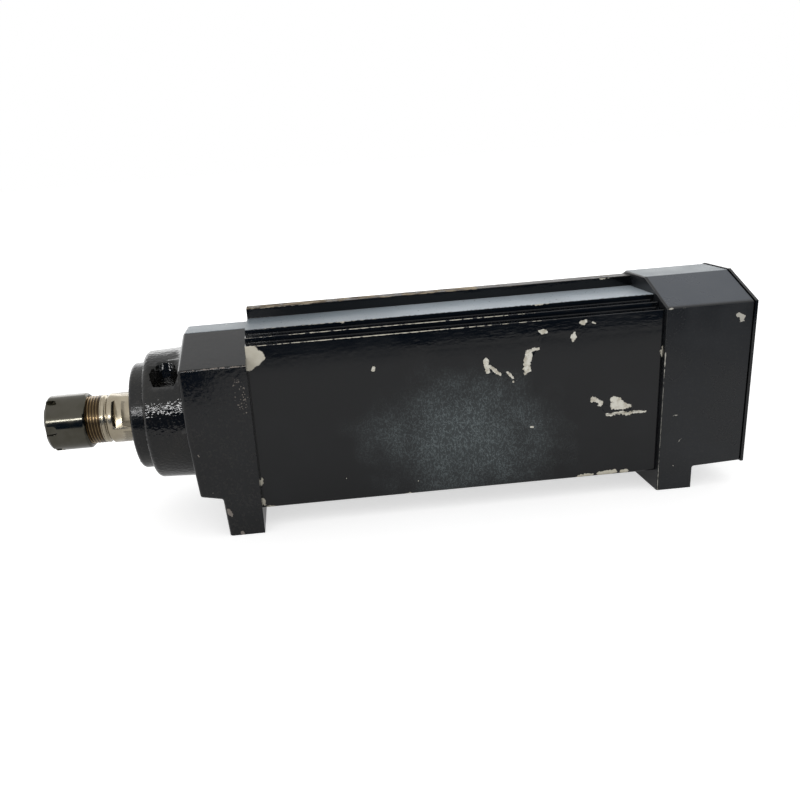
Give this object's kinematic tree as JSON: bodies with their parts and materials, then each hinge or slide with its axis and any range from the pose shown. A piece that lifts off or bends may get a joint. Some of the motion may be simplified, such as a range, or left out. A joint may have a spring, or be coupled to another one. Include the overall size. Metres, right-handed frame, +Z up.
{
  "type": "motor spindle",
  "caption": "Foot-mounted high-frequency motor spindle: flat-sided extruded body between cast housings, shaft nose with collet and slotted collet nut.",
  "frame": {"origin": "middle of the four foot holes, on the plane of the feet, in the spindle's vertical mid-plane", "axes": "+X along the spindle from the nose to the rear cover, +Z up from the feet, +Y towards the cable gland side"},
  "size_m": [0.3538, 0.0995, 0.1065],
  "materials": {
    "black_casting": "thick glossy black paint on a casting, orange peel, chipped",
    "black_extrusion": "thick glossy black paint on an extrusion, chipped at the edges",
    "black_plate": "black paint on sheet metal",
    "gasket_rubber": "black sheet rubber",
    "ground_steel": "ground and turned steel, warm film of oil",
    "oxide_steel": "turned steel, black oxide, polished by handling",
    "collet_steel": "hardened ground steel",
    "screw_steel": "blackened screws",
    "bearing_steel": "polished bearing steel",
    "turned_steel": "turned steel",
    "lamination_steel": "stacked electrical sheet",
    "end_ring_aluminium": "die-cast",
    "winding_varnish": "enamelled copper wire in varnish",
    "terminal_plastic": "moulded",
    "terminal_brass": "plated",
    "gland_plastic": "moulded black nylon"
  },
  "bodies": {
    "housing": {"cable_gland": "gland_plastic", "front_bearing_cap": "black_casting", "front_bearing_outer_rings": "bearing_steel", "front_cap_screws": "screw_steel", "front_housing": "black_casting", "gland_nut": "gland_plastic", "gland_seal": "gasket_rubber", "motor_body": "black_extrusion", "outer_bearing_spacer": "turned_steel", "port_plug": "screw_steel", "preload_spring": "turned_steel", "rear_bearing_outer_ring": "bearing_steel", "rear_cover": "black_plate", "rear_cover_screws": "screw_steel", "rear_gasket": "gasket_rubber", "rear_housing": "black_casting", "stator_core": "lamination_steel", "stator_windings": "winding_varnish", "terminal_block": "terminal_plastic", "terminal_screws": "terminal_brass", "tie_bolts": "screw_steel"},
    "spindle": {"spindle_shaft": "ground_steel", "shaft_circlip": "turned_steel", "bearing_locknut": "turned_steel", "front_bearing_inner_rings": "bearing_steel", "front_bearing_balls": "bearing_steel", "rear_bearing_inner_ring": "bearing_steel", "rear_bearing_balls": "bearing_steel", "inner_bearing_spacer": "turned_steel", "rotor_core": "lamination_steel", "rotor_end_rings": "end_ring_aluminium"},
    "collet": {"collet": "collet_steel"},
    "nut": {"collet_nut": "oxide_steel", "nut_eccentric_ring": "oxide_steel"}
  },
  "joints": [
    {"name": "spindle_spin", "type": "hinge", "parent": "housing", "child": "spindle", "pos_m": [0, 0, 0.054], "axis": [1, 0, 0], "continuous": true},
    {"name": "collet_slide", "type": "slide", "parent": "spindle", "child": "collet", "axis": [1, 0, 0], "range_m": [-0.00675, 0.006]},
    {"name": "nut_turn", "type": "hinge", "parent": "collet", "child": "nut", "pos_m": [-0.2, 0, 0.054], "axis": [1, 0, 0], "range_deg": [-1620, 1440]}
  ],
  "couplings": [
    {"joint": "collet_slide", "follows": "nut_turn", "m_per_rad": 0.00023873}
  ]
}
